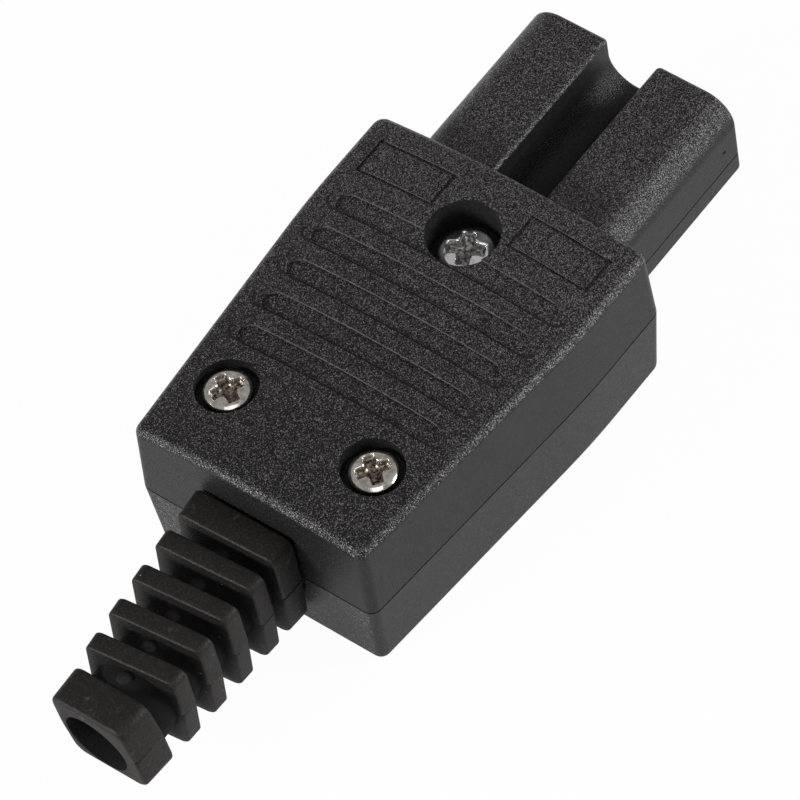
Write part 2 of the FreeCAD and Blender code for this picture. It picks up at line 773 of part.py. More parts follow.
parts["contact_line"] = contact(live_y, live_z, live_tail_path(1))
parts["contact_neutral"] = contact(-live_y, live_z, live_tail_path(-1))
parts["contact_earth"] = contact(0.0, earth_z, earth_tail_path())
for name, (y, front_x, wire_z) in terminals.items():
    parts["terminal_" + name] = terminal_block(y, front_x, wire_z)
    parts["terminal_screw_" + name] = terminal_screw(y, front_x, wire_z)

# The finished part stands on its lower shell, with its origin in the middle of its footprint
rear_end = boot_stations()[-1][1]
to_floor = V(-(nose_len + rear_end) / 2, 0, base_h)

os.makedirs("parts", exist_ok=True)
for name, shape in parts.items():
    shape.translate(to_floor)
    shape.exportStep("parts/" + name + ".step")
    box_mm = shape.BoundBox
    print(name, shape.isValid(), len(shape.Solids), round(shape.Volume, 1), len(shape.Faces),
          [round(v, 2) for v in (box_mm.XMin, box_mm.XMax, box_mm.YMin, box_mm.YMax, box_mm.ZMin, box_mm.ZMax)])
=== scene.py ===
import math

import bmesh
import bpy
from mathutils import Matrix, Vector


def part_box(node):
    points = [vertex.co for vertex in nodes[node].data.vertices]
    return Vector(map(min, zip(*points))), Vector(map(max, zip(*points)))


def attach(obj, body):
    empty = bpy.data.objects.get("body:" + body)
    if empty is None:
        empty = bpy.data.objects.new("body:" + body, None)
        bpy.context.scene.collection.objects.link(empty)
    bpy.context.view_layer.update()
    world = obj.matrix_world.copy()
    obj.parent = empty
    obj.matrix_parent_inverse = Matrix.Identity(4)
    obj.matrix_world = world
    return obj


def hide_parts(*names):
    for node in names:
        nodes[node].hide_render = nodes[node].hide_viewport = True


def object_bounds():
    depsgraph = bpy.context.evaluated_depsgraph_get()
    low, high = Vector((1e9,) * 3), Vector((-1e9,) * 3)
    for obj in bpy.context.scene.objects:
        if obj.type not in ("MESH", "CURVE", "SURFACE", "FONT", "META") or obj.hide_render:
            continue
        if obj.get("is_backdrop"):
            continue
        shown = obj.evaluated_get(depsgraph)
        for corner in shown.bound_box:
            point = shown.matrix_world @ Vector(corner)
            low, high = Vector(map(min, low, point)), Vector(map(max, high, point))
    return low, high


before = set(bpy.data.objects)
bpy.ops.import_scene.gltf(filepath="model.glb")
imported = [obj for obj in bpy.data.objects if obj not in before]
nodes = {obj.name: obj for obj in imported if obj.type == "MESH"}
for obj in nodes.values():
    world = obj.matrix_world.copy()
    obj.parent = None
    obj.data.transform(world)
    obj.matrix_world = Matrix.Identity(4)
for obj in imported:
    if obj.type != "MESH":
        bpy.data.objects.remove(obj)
scene = bpy.context.scene
MM = 0.001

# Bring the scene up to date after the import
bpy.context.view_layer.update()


# Camera: a long lens from behind and to the right of the connector, looking down on
# the crowned top face at about 55 degrees, with the cord boot in the lower left.
camera_right = Vector((0.5927, -0.7974, -0.1137)).normalized()
camera_ahead = Vector((0.4009, 0.4145, -0.8170)).normalized()
camera_down = camera_ahead.cross(camera_right)
camera_place = Vector((-258.03, -270.28, 539.37)) * MM
camera_turn = Matrix((camera_right, -camera_down, -camera_ahead)).transposed().to_4x4()
camera_data = bpy.data.cameras.new("camera")
camera_data.lens = 308.8
camera_data.sensor_width = 36.0
camera_data.clip_start = 0.05
camera_data.clip_end = 10.0
camera = bpy.data.objects.new("camera", camera_data)
camera.matrix_world = Matrix.Translation(camera_place) @ camera_turn
scene.collection.objects.link(camera)
scene.camera = camera


# Floor and light: a sheet of white paper in a bright tent. A soft lamp stands low on the
# nose side, a narrow one grazes the rear edge, and a white card stands behind the camera.
def colour(hex_code):
    """sRGB hex to the linear values that the shaders take."""
    parts = [int(hex_code[i:i + 2], 16) / 255 for i in (1, 3, 5)]
    return [c / 12.92 if c <= 0.04045 else ((c + 0.055) / 1.055) ** 2.4 for c in parts] + [1.0]


def add(tree, kind, settings=None, **links):
    """One node with its settings and inputs: a value is set, a socket is linked."""
    node = tree.nodes.new(kind)
    for key, value in (settings or {}).items():
        setattr(node, key, value)
    for key, value in links.items():
        by_number = key[0] == "i" and key[1:].isdigit()
        socket = node.inputs[int(key[1:]) if by_number else key.replace("_", " ")]
        if isinstance(value, bpy.types.NodeSocket):
            tree.links.new(value, socket)
        else:
            socket.default_value = value
    return node


def blank_material(name):
    """A new material and its empty node tree."""
    material = bpy.data.materials.new(name)
    material.use_nodes = True
    material.node_tree.nodes.clear()
    return material, material.node_tree


# The sheet lies a hair under the part, so that the two faces don't coincide
floor_half = 0.6
floor_z = -0.03 * MM
corners = [(x * floor_half, y * floor_half, floor_z) for x, y in ((-1, -1), (1, -1), (1, 1), (-1, 1))]
floor_mesh = bpy.data.meshes.new("white_paper")
floor_mesh.from_pydata(corners, [], [(0, 1, 2, 3)])
floor = bpy.data.objects.new("white_paper", floor_mesh)
scene.collection.objects.link(floor)
floor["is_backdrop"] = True

paper, tree = blank_material("white_paper")
path = add(tree, "ShaderNodeLightPath")
mirrored = add(tree, "ShaderNodeMath", {"operation": "MULTIPLY"}, i0=path.outputs["Is Glossy Ray"], i1=0.75)
seen = add(tree, "ShaderNodeMath", {"operation": "MULTIPLY_ADD", "use_clamp": True}, i0=path.outputs["Is Camera Ray"],
           i1=0.97, i2=mirrored.outputs[0])
fibres = add(tree, "ShaderNodeBsdfDiffuse", Color=colour("#dcdcdc"))
white = add(tree, "ShaderNodeEmission", Color=(1, 1, 1, 1), Strength=1.0)
both = add(tree, "ShaderNodeMixShader", i0=seen.outputs[0], i1=fibres.outputs[0], i2=white.outputs[0])
add(tree, "ShaderNodeOutputMaterial", Surface=both.outputs[0])
floor_mesh.materials.append(paper)

world = bpy.data.worlds.new("light_tent")
world.use_nodes = True
tree = world.node_tree
tree.nodes.clear()
path = add(tree, "ShaderNodeLightPath")
cloth = add(tree, "ShaderNodeBackground", Color=(1, 1, 1, 1), Strength=0.22)
beyond = add(tree, "ShaderNodeBackground", Color=(1, 1, 1, 1), Strength=1.0)
mirrored = add(tree, "ShaderNodeMath", {"operation": "MULTIPLY"}, i0=path.outputs["Is Glossy Ray"], i1=0.18)
seen = add(tree, "ShaderNodeMath", {"operation": "MAXIMUM"}, i0=path.outputs["Is Camera Ray"], i1=mirrored.outputs[0])
world_mix = add(tree, "ShaderNodeMixShader", i0=seen.outputs[0], i1=cloth.outputs[0], i2=beyond.outputs[0])
add(tree, "ShaderNodeOutputWorld", Surface=world_mix.outputs[0])
scene.world = world
scene.view_settings.view_transform = "Standard"


def soft_lamp(name, place, aim, width, height, watts):
    """A rectangular lamp that stands at place and points at aim."""
    lamp = bpy.data.lights.new(name, "AREA")
    lamp.shape = "RECTANGLE"
    lamp.size, lamp.size_y, lamp.energy = width, height, watts
    holder = bpy.data.objects.new(name, lamp)
    holder.location = place
    holder.rotation_euler = (Vector(aim) - Vector(place)).to_track_quat("-Z", "Y").to_euler()
    scene.collection.objects.link(holder)


part_middle = (0, 0, 0.01)
soft_lamp("key_lamp", (0.42, -0.58, 0.30), part_middle, 0.30, 0.22, 5.0)
soft_lamp("rear_lamp", (-0.60, 0.28, 0.30), part_middle, 0.30, 0.12, 5.6)
soft_lamp("white_card", (-0.36, -0.38, 0.74), part_middle, 0.60, 0.60, 1.5)


# Shells: two halves moulded in black glass-filled nylon. The mould's top faces are spark-eroded, so their pebbled grain
# glints, and part of that glint is painted into the colour as pale specks, while the upright walls are drawn along the
# steel as the mould opens and come out smoother and greyer.
nylon, tree = blank_material("spark_eroded_black_nylon")
coords = add(tree, "ShaderNodeTexCoord")
geometry = add(tree, "ShaderNodeNewGeometry")
facing = add(tree, "ShaderNodeSeparateXYZ", Vector=geometry.outputs["Normal"])
upward = add(tree, "ShaderNodeMath", {"operation": "ABSOLUTE"}, i0=facing.outputs["Z"])
on_top = add(tree, "ShaderNodeMapRange", {"interpolation_type": "SMOOTHSTEP"}, Value=upward.outputs[0], From_Min=0.12,
             From_Max=0.5)
# Pebbles of 0.15 mm, full on the faces that the spark reached and faint on the drawn walls
pebble = add(tree, "ShaderNodeTexNoise", Vector=coords.outputs["Object"], Scale=6500.0, Detail=1.5, Roughness=0.6)
depth = add(tree, "ShaderNodeMapRange", Value=on_top.outputs[0], To_Min=0.32, To_Max=1.0)
grain = add(tree, "ShaderNodeBump", Strength=depth.outputs[0], Height=pebble.outputs["Fac"], Distance=0.12 * MM)
# Each speck of 0.08 mm on them has its own tone, most of them dark and a few pale, and the pale ones are painted
# glints. Towards the rear fewer of them are pale, a painted shade that darkens the top from the nose to the rear.
place = add(tree, "ShaderNodeSeparateXYZ", Vector=coords.outputs["Object"])
shade_to_rear = add(tree, "ShaderNodeMapRange", Value=place.outputs["X"], From_Min=-18.8 * MM, From_Max=14.0 * MM, To_Min=7.5,
           To_Max=4.0)
cell = add(tree, "ShaderNodeTexVoronoi", {"feature": "F1"}, Vector=coords.outputs["Object"], Scale=12000.0)
chance = add(tree, "ShaderNodeSeparateColor", Color=cell.outputs["Color"])
pale = add(tree, "ShaderNodeMath", {"operation": "POWER"}, i0=chance.outputs[0], i1=shade_to_rear.outputs[0])
# On the rounded edges the pale ones are painted paler, a painted highlight along the edges, least at the tip of the
# nose
highlight_to_tip = add(tree, "ShaderNodeMapRange", Value=place.outputs["X"], From_Min=24.0 * MM, From_Max=44.0 * MM, To_Min=1.0,
             To_Max=0.2)
edge_highlight = add(tree, "ShaderNodeMapRange", {"interpolation_type": "SMOOTHSTEP"}, Value=upward.outputs[0], From_Min=0.97,
           From_Max=0.80, To_Max=highlight_to_tip.outputs[0])
glint_tone = add(tree, "ShaderNodeMix", {"data_type": "RGBA"}, i0=edge_highlight.outputs[0], i6=colour("#716d6d"),
                i7=colour("#9a9898"))
pebbled = add(tree, "ShaderNodeMix", {"data_type": "RGBA"}, i0=pale.outputs[0], i6=colour("#070606"),
              i7=glint_tone.outputs[2])
# The drawn walls are an even grey with clouds of 5 mm
cloud = add(tree, "ShaderNodeTexNoise", Vector=coords.outputs["Object"], Scale=190.0, Detail=3.0, Roughness=0.55)
wall = add(tree, "ShaderNodeMix", {"data_type": "RGBA"}, i0=cloud.outputs["Fac"], i6=colour("#100f0f"),
           i7=colour("#181717"))
# In the key and the wells the nylon takes the plain dark tone of the drawn walls instead of the pebbled one, a painted
# shade in these recesses
over_key = add(tree, "ShaderNodeMapRange", {"interpolation_type": "SMOOTHSTEP"}, Value=place.outputs["Z"],
               From_Min=13.6 * MM, From_Max=15.2 * MM)
under_key = add(tree, "ShaderNodeMapRange", {"interpolation_type": "SMOOTHSTEP"}, Value=place.outputs["Z"],
                From_Min=5.0 * MM, From_Max=3.5 * MM)
sparked_unshaded = add(tree, "ShaderNodeMath", {"operation": "MAXIMUM"}, i0=over_key.outputs[0], i1=under_key.outputs[0])
flat = add(tree, "ShaderNodeCombineXYZ", X=place.outputs["X"], Y=place.outputs["Y"])
wells = []
for name, well_r in (("shell_screw_front", 3.7), ("shell_screw_left", 3.15), ("shell_screw_right", 3.15)):
    low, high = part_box(name)
    off = add(tree, "ShaderNodeVectorMath", {"operation": "DISTANCE"}, i0=flat.outputs[0],
              i1=((low[0] + high[0]) / 2, (low[1] + high[1]) / 2, 0))
    wells.append((off, well_r))
    outside_well = add(tree, "ShaderNodeMapRange", Value=off.outputs["Value"], From_Min=(well_r - 0.1) * MM,
                       From_Max=(well_r + 0.05) * MM)
    sparked_unshaded = add(tree, "ShaderNodeMath", {"operation": "MULTIPLY"}, i0=sparked_unshaded.outputs[0], i1=outside_well.outputs[0])
sparked_unshaded = add(tree, "ShaderNodeMath", {"operation": "MULTIPLY"}, i0=sparked_unshaded.outputs[0], i1=on_top.outputs[0])
# Under the split the walls are sparked as well, a little at the sides and eight times that on the rear wall
under_split = add(tree, "ShaderNodeMapRange", Value=place.outputs["Z"], From_Min=9.05 * MM, From_Max=8.9 * MM,
                  To_Max=0.08)
rearward = add(tree, "ShaderNodeMapRange", Value=facing.outputs["X"], From_Min=-0.90, From_Max=-0.98, To_Min=1.0,
               To_Max=8.0)
panel = add(tree, "ShaderNodeMath", {"operation": "MULTIPLY"}, i0=under_split.outputs[0], i1=rearward.outputs[0])
sparked_unshaded = add(tree, "ShaderNodeMath", {"operation": "MAXIMUM"}, i0=sparked_unshaded.outputs[0], i1=panel.outputs[0])
cover = add(tree, "ShaderNodeMapRange", Value=sparked_unshaded.outputs[0], To_Min=0.09, To_Max=1.0)
skin = add(tree, "ShaderNodeMix", {"data_type": "RGBA"}, i0=cover.outputs[0], i6=wall.outputs[2], i7=pebbled.outputs[2])
# The walls of the grooves that face the boot are painted pale, a painted highlight on them
aside = add(tree, "ShaderNodeMath", {"operation": "ABSOLUTE"}, i0=place.outputs["Y"])
lit_groove_wall = add(tree, "ShaderNodeMapRange", Value=facing.outputs["X"], From_Min=-0.25, From_Max=-0.7)
for value, first, last in ((aside.outputs[0], 13.2, 12.8), (place.outputs["X"], -10.5, -10.0),
                           (place.outputs["X"], 21.8, 21.4), (place.outputs["Z"], 15.0, 15.5)):
    inside = add(tree, "ShaderNodeMapRange", Value=value, From_Min=first * MM, From_Max=last * MM)
    lit_groove_wall = add(tree, "ShaderNodeMath", {"operation": "MULTIPLY"}, i0=lit_groove_wall.outputs[0], i1=inside.outputs[0])
for off, well_r in wells:
    outside_well = add(tree, "ShaderNodeMapRange", Value=off.outputs["Value"], From_Min=(well_r + 0.02) * MM,
                       From_Max=(well_r + 0.1) * MM)
    lit_groove_wall = add(tree, "ShaderNodeMath", {"operation": "MULTIPLY"}, i0=lit_groove_wall.outputs[0], i1=outside_well.outputs[0])
lit_wall_tone = add(tree, "ShaderNodeMix", {"data_type": "RGBA"}, i0=chance.outputs[1], i6=colour("#161616"),
               i7=colour("#6e6d6d"))
groove_walls_lit = add(tree, "ShaderNodeMix", {"data_type": "RGBA"}, i0=lit_groove_wall.outputs[0], i6=skin.outputs[2],
            i7=lit_wall_tone.outputs[2])
# A painted shadow lies in the foot of each groove on its boot side, in a line 0.3 mm wide that turns round the groove's
# end and stops at the rim of the right well
beside_well = outside_well
grooves, groove_first, groove_pitch, groove_r = 5, 13.0 * MM, 4.28 * MM, 1.2 * MM
passed = add(tree, "ShaderNodeMath", {"operation": "SUBTRACT"}, i0=groove_first, i1=place.outputs["X"])
counted = add(tree, "ShaderNodeMath", {"operation": "DIVIDE"}, i0=passed.outputs[0], i1=groove_pitch)
nearest = add(tree, "ShaderNodeMath", {"operation": "ROUND"}, i0=counted.outputs[0])
number = add(tree, "ShaderNodeClamp", Value=nearest.outputs[0], Min=0.0, Max=grooves - 1.0)
back = add(tree, "ShaderNodeMath", {"operation": "MULTIPLY"}, i0=number.outputs[0], i1=groove_pitch)
across = add(tree, "ShaderNodeMath", {"operation": "SUBTRACT"}, i0=back.outputs[0], i1=passed.outputs[0])
middle = add(tree, "ShaderNodeMath", {"operation": "SUBTRACT"}, i0=groove_first, i1=back.outputs[0])
reach = add(tree, "ShaderNodeMapRange", Value=middle.outputs[0], From_Min=-18.8 * MM, From_Max=12.0 * MM,
            To_Min=10.4 * MM, To_Max=12.8 * MM)
beyond = add(tree, "ShaderNodeMath", {"operation": "SUBTRACT"}, i0=aside.outputs[0], i1=reach.outputs[0])
past = add(tree, "ShaderNodeMath", {"operation": "MAXIMUM"}, i0=beyond.outputs[0], i1=0.0)
offset = add(tree, "ShaderNodeCombineXYZ", X=across.outputs[0], Y=past.outputs[0])
ray = add(tree, "ShaderNodeVectorMath", {"operation": "LENGTH"}, i0=offset.outputs[0])
foot = add(tree, "ShaderNodeMapRange", Value=ray.outputs["Value"], From_Min=groove_r - 0.31 * MM,
           From_Max=groove_r - 0.25 * MM, To_Max=0.8)
within = add(tree, "ShaderNodeMapRange", Value=ray.outputs["Value"], From_Min=groove_r + 0.06 * MM,
             From_Max=groove_r + 0.02 * MM)
behind = add(tree, "ShaderNodeMapRange", Value=across.outputs[0], From_Min=0.5 * MM, From_Max=-0.3 * MM)
groove_shadow = add(tree, "ShaderNodeMath", {"operation": "MULTIPLY"}, i0=foot.outputs[0], i1=within.outputs[0])
for mask in (behind, over_key, beside_well):
    groove_shadow = add(tree, "ShaderNodeMath", {"operation": "MULTIPLY"}, i0=groove_shadow.outputs[0], i1=mask.outputs[0])
groove_shadowed = add(tree, "ShaderNodeMix", {"data_type": "RGBA"}, i0=groove_shadow.outputs[0], i6=groove_walls_lit.outputs[2],
            i7=colour("#020202"))
# The gate left a rough dot of 0.5 mm on the side of the nose
gate_place = (40.8 * MM, -11.85 * MM, 11.6 * MM)
gate = add(tree, "ShaderNodeVectorMath", {"operation": "DISTANCE"}, i0=coords.outputs["Object"], i1=gate_place)
gate_mark = add(tree, "ShaderNodeMapRange", Value=gate.outputs["Value"], From_Min=0.32 * MM, From_Max=0.20 * MM)
marked = add(tree, "ShaderNodeMix", {"data_type": "RGBA"}, i0=gate_mark.outputs[0], i6=groove_shadowed.outputs[2],
             i7=colour("#020202"))
# The pebbles shine a little more than the drawn walls, and the painted groove shadow and the gate are quite dull
smooth = add(tree, "ShaderNodeMapRange", Value=on_top.outputs[0], To_Min=0.45, To_Max=0.33)
matt = add(tree, "ShaderNodeMath", {"operation": "MAXIMUM"}, i0=groove_shadow.outputs[0], i1=gate_mark.outputs[0])
rough = add(tree, "ShaderNodeMath", {"operation": "MAXIMUM"}, i0=smooth.outputs[0], i1=matt.outputs[0])
surface = add(tree, "ShaderNodeBsdfPrincipled", Base_Color=marked.outputs[2], Roughness=rough.outputs[0], IOR=1.53,
              Specular_IOR_Level=0.25, Normal=grain.outputs["Normal"])
add(tree, "ShaderNodeOutputMaterial", Surface=surface.outputs[0])


def cover_solid(name, material):
    """A CAD solid keeps its mesh and takes its material."""
    nodes[name].data.materials.clear()
    nodes[name].data.materials.append(material)


cover_solid("upper_shell", nylon)
cover_solid("lower_shell", nylon)


# Cord boot: soft black rubber moulded in one piece round the cable bore. A collar, four
# ribs and an end block stand on one core, all with rounded edges, and the whole boot
# sags a little and leans to one side, as the rubber rests in its loose seat.
rubber, tree = blank_material("moulded_black_rubber")
coords = add(tree, "ShaderNodeTexCoord")
# Release powder in spots of 0.15 mm, with a bloom in patches of 4 mm
cell = add(tree, "ShaderNodeTexVoronoi", {"feature": "F1"}, Vector=coords.outputs["Object"], Scale=6600.0)
chance = add(tree, "ShaderNodeSeparateColor", Color=cell.outputs["Color"])
pale = add(tree, "ShaderNodeMath", {"operation": "POWER"}, i0=chance.outputs[0], i1=3.0)
flow = add(tree, "ShaderNodeTexNoise", Vector=coords.outputs["Object"], Scale=250.0, Detail=4.0, Roughness=0.65)
bloom = add(tree, "ShaderNodeMix", {"data_type": "RGBA"}, i0=flow.outputs["Fac"], i6=colour("#070505"),
            i7=colour("#120e0d"))
powder = add(tree, "ShaderNodeMix", {"data_type": "RGBA"}, i0=pale.outputs[0], i6=bloom.outputs[2],
             i7=colour("#221d1b"))
# Handling scuffs the rubber grey in patches of 2 mm
patch = add(tree, "ShaderNodeTexNoise", Vector=coords.outputs["Object"], Scale=520.0, Detail=5.0, Roughness=0.7)
scuffed = add(tree, "ShaderNodeMapRange", {"interpolation_type": "SMOOTHSTEP"}, Value=patch.outputs["Fac"],
              From_Min=0.60, From_Max=0.80)
scuff = add(tree, "ShaderNodeMix", {"data_type": "RGBA"}, i0=scuffed.outputs[0], i6=powder.outputs[2],
            i7=colour("#4a4543"))
# The gaps between the ribs are painted near black, a painted shade that an attribute marks, and are dull as well
gap_shade = add(tree, "ShaderNodeAttribute", {"attribute_name": "gap_shade"})
gap_shade_share = add(tree, "ShaderNodeMath", {"operation": "MULTIPLY"}, i0=gap_shade.outputs["Fac"], i1=0.97)
gap_shaded = add(tree, "ShaderNodeMix", {"data_type": "RGBA"}, i0=gap_shade_share.outputs[0], i6=scuff.outputs[2],
           i7=colour("#050404"))
# Dust grains of 0.2 mm, one or two on each rib
lint = add(tree, "ShaderNodeTexVoronoi", {"feature": "F1"}, Vector=coords.outputs["Object"], Scale=1300.0)
lint_chance = add(tree, "ShaderNodeSeparateColor", Color=lint.outputs["Color"])
picked = add(tree, "ShaderNodeMapRange", {"interpolation_type": "SMOOTHSTEP"}, Value=lint_chance.outputs[0],
             From_Min=0.90, From_Max=1.0)
dot = add(tree, "ShaderNodeMapRange", {"interpolation_type": "SMOOTHSTEP"}, Value=lint.outputs["Distance"],
          From_Min=0.13, From_Max=0.06)
speck = add(tree, "ShaderNodeMath", {"operation": "MULTIPLY"}, i0=picked.outputs[0], i1=dot.outputs[0])
dusty = add(tree, "ShaderNodeMix", {"data_type": "RGBA"}, i0=speck.outputs[0], i6=gap_shaded.outputs[2],
            i7=colour("#8f8b88"))
# Moulded skin with a soft unevenness of 0.3 mm
skin = add(tree, "ShaderNodeTexNoise", Vector=coords.outputs["Object"], Scale=3000.0, Detail=3.0, Roughness=0.65)
skin_bump = add(tree, "ShaderNodeBump", Strength=0.8, Height=skin.outputs["Fac"], Distance=0.08 * MM)
dull = add(tree, "ShaderNodeMapRange", Value=gap_shade.outputs["Fac"], To_Min=0.55, To_Max=0.95)
surface = add(tree, "ShaderNodeBsdfPrincipled", Base_Color=dusty.outputs[2], Roughness=dull.outputs[0], IOR=1.52,
              Specular_IOR_Level=0.25, Normal=skin_bump.outputs["Normal"])
add(tree, "ShaderNodeOutputMaterial", Surface=surface.outputs[0])

# Sizes in mm. X counts from the front of the body, and Y and Z from the axis of the bore.
body_front_x, axis_z = 24.0, 9.1
bore_r = 3.6
hidden_bore_r = 3.95                  # of collar and ribs, out of sight inside the core
core_half, core_corner = 4.4, 4.25
collar_x, collar_half_w, collar_half_h = (-42.9, -45.9), 6.0, 6.2
rib_count, rib_first_x, rib_thick, rib_pitch = 4, -47.4, 2.05, 4.05
rib_half, rib_shrink = 5.9, 0.22
end_block_x = (-63.4, -67.4)
taper = 0.047                         # loss of half width for each mm towards the end
corner_round, rim_round = 0.9, 0.26
mould_line, side_lean = 0.15, 0.3


def section_loop(half_w, half_h, corner, line=mould_line):
    """Section of the boot as points in y and z: round corners, sides widest at the mould line."""
    quarter = [(half_w - line, 0.0), (half_w, line * 1.1)]
    foot = half_h - corner
    for k in range(1, 4):
        quarter.append((half_w - side_lean * foot / half_h * k / 3, line + (foot - line) * k / 3))
    side = quarter[-1][0]
    for k in range(1, 7):
        a = math.radians(90 * k / 6)
        quarter.append((side - corner * (1 - math.cos(a)), foot + corner * math.sin(a)))
    quarter += [(quarter[-1][0] * k, half_h) for k in (0.66, 0.33)]
    upper = quarter + [(0.0, half_h)] + [(-y, z) for y, z in reversed(quarter)]
    return upper + [(y, -z) for y, z in reversed(upper[1:-1])]


def add_ring(mesh, x, points, gap_shade=0.0):
    """A ring of points, marked with how much painted shade it takes: 0 on the outside, 1 in a gap or bore."""
    mark = mesh.verts.layers.float.get("gap_shade") or mesh.verts.layers.float.new("gap_shade")
    ring = [mesh.verts.new((x * MM, y * MM, z * MM)) for y, z in points]
    for vert in ring:
        vert[mark] = gap_shade
    return ring


def add_band(mesh, first, second):
    """Faces between two rings of as many points."""
    count = len(first)
    for k in range(count):
        mesh.faces.new((first[k], first[(k + 1) % count], second[(k + 1) % count], second[k]))


def add_slab(mesh, x0, x1, half_w, half_h, corner, bore, shrink=0.0, rim=rim_round, line=mould_line,
             mouth=0.0, mouth_off=(0.0, 0.0), gap_shade=0.0):
    """A block between two planes with rounded rims, pierced by a round bore. Its bore opens by
    mouth at the rear, mouth_off beside the middle."""
    quarter_round = [(0.0, 1.0), (0.13, 0.5), (0.5, 0.13), (1.0, 0.0)]
    stations = [(x0 - rim * a, rim * b) for a, b in quarter_round]
    stations += [(x1 + rim * a, rim * b) for a, b in reversed(quarter_round)]
    rings = []
    for x, inset in stations:
        grow = -shrink * (x0 - x) - inset
        rings.append(add_ring(mesh, x, section_loop(half_w + grow, half_h + grow, corner, line=line), gap_shade))
    angles = [math.atan2(v.co.z, v.co.y) for v in rings[0]]
    bore_rings = []
    # The bore takes full painted shade, its mouth at the rear less
    for x, r, off in ((x1, bore + mouth, 1.0), (x1 + mouth * 0.3, bore + mouth * 0.3, 1.0), (x1 + mouth, bore, 1.0),
                      ((x0 + x1) / 2, bore, 0.5), (x0 - 1.0, bore, 0.1), (x0, bore, 0.0)):
        bore_rings.append(add_ring(mesh, x, [(r * math.cos(a) + mouth_off[0] * off,
                                              r * math.sin(a) + mouth_off[1] * off) for a in angles],
                                   0.3 if mouth and x < x1 + mouth * 0.5 else 1.0))
    loop = rings + bore_rings
    for first, second in zip(loop, loop[1:] + loop[:1]):
        add_band(mesh, first, second)


def finish_mesh(mesh, name):
    """The mesh as data, with its doubles merged and its faces pointing outwards."""
    bmesh.ops.remove_doubles(mesh, verts=mesh.verts, dist=1e-7)
    bmesh.ops.recalc_face_normals(mesh, faces=mesh.faces)
    data = bpy.data.meshes.new(name)
    mesh.to_mesh(data)
    mesh.free()
    return data


# One rib, then the row of ribs from it, each a step smaller than the one before
mesh = bmesh.new()
add_slab(mesh, 0.0, -rib_thick, rib_half, rib_half, corner_round, hidden_bore_r, shrink=taper)
row = bpy.data.objects.new("boot_rib_row", finish_mesh(mesh, "boot_rib"))
scene.collection.objects.link(row)
group = bpy.data.node_groups.new("rib_row", "GeometryNodeTree")
group.interface.new_socket("Geometry", in_out="INPUT", socket_type="NodeSocketGeometry")
for label, kind in (("Count", "NodeSocketInt"), ("First", "NodeSocketFloat"), ("Pitch", "NodeSocketFloat"),
                    ("Shrink", "NodeSocketFloat"), ("Rubber", "NodeSocketMaterial")):
    group.interface.new_socket(label, in_out="INPUT", socket_type=kind)
group.interface.new_socket("Geometry", in_out="OUTPUT", socket_type="NodeSocketGeometry")
given = add(group, "NodeGroupInput")
back = add(group, "ShaderNodeMath", {"operation": "MULTIPLY"}, i0=given.outputs["Pitch"], i1=-1.0)
start = add(group, "ShaderNodeCombineXYZ", X=given.outputs["First"])
step = add(group, "ShaderNodeCombineXYZ", X=back.outputs[0])
line = add(group, "GeometryNodeMeshLine", Count=given.outputs["Count"], Start_Location=start.outputs[0],
           Offset=step.outputs[0])
index = add(group, "GeometryNodeInputIndex")
loss = add(group, "ShaderNodeMath", {"operation": "MULTIPLY"}, i0=index.outputs[0], i1=given.outputs["Shrink"])
size = add(group, "ShaderNodeMath", {"operation": "SUBTRACT"}, i0=1.0, i1=loss.outputs[0])
scale = add(group, "ShaderNodeCombineXYZ", X=1.0, Y=size.outputs[0], Z=size.outputs[0])
ribs = add(group, "GeometryNodeInstanceOnPoints", Points=line.outputs[0], Instance=given.outputs["Geometry"],
           Scale=scale.outputs[0])
real = add(group, "GeometryNodeRealizeInstances", Geometry=ribs.outputs[0])
dressed = add(group, "GeometryNodeSetMaterial", Geometry=real.outputs[0], Material=given.outputs["Rubber"])
add(group, "NodeGroupOutput", Geometry=dressed.outputs[0])
modifier = row.modifiers.new("rib_row", "NODES")
modifier.node_group = group
inputs = {item.name: item.identifier for item in group.interface.items_tree if item.in_out == "INPUT"}
for label, value in (("Count", rib_count), ("First", rib_first_x * MM), ("Pitch", rib_pitch * MM),
                     ("Shrink", rib_shrink / rib_half), ("Rubber", rubber)):
    modifier[inputs[label]] = value
bpy.context.view_layer.update()
rib_mesh = bpy.data.meshes.new_from_object(row.evaluated_get(bpy.context.evaluated_depsgraph_get()))
row.modifiers.remove(modifier)
bpy.data.objects.remove(row)

# Collar and core outside the shells, the core let into collar and end block and painted with full shade, with a low
# soft pip in each gap that takes less painted shade the higher it stands
outside = bmesh.new()
outside.from_mesh(rib_mesh)
add_slab(outside, collar_x[0], collar_x[1], collar_half_w, collar_half_h, corner_round, hidden_bore_r, shrink=taper)
core_x = (collar_x[1] + 1.2, end_block_x[0] - 0.9)
add_slab(outside, *core_x, core_half, core_half, core_corner, bore_r, rim=0.1, line=0.0, gap_shade=1.0)
gap_fronts = [collar_x[1]] + [rib_first_x - rib_thick - k * rib_pitch for k in range(rib_count)]
gap_rears = [rib_first_x - k * rib_pitch for k in range(rib_count)] + [end_block_x[0]]
pip_r, pip_h, pip_sides = 0.8, 0.2, 15
pip_profile = ((1.0, -1.6), (1.0, -0.3), (0.85, 0.4), (0.5, 0.85), (0.12, 1.0))
pip_angles = [2 * math.pi * k / pip_sides for k in range(pip_sides)]
mark = outside.verts.layers.float["gap_shade"]
for front, rear in zip(gap_fronts, gap_rears):
    for side in (1, -1):
        rings = []
        for r, z in pip_profile:
            rings.append([outside.verts.new((((front + rear) / 2 + pip_r * r * math.cos(a)) * MM,
                                             pip_r * r * math.sin(a) * MM, side * (core_half + pip_h * z) * MM))
                          for a in pip_angles])
            for vert in rings[-1]:
                # Painted shade on the pips, less the higher they stand
                vert[mark] = 0.65 - 0.35 * z
        for first, second in zip(rings, rings[1:]):
            add_band(outside, first, second)
        outside.faces.new(rings[-1])
        outside.faces.new(rings[0])

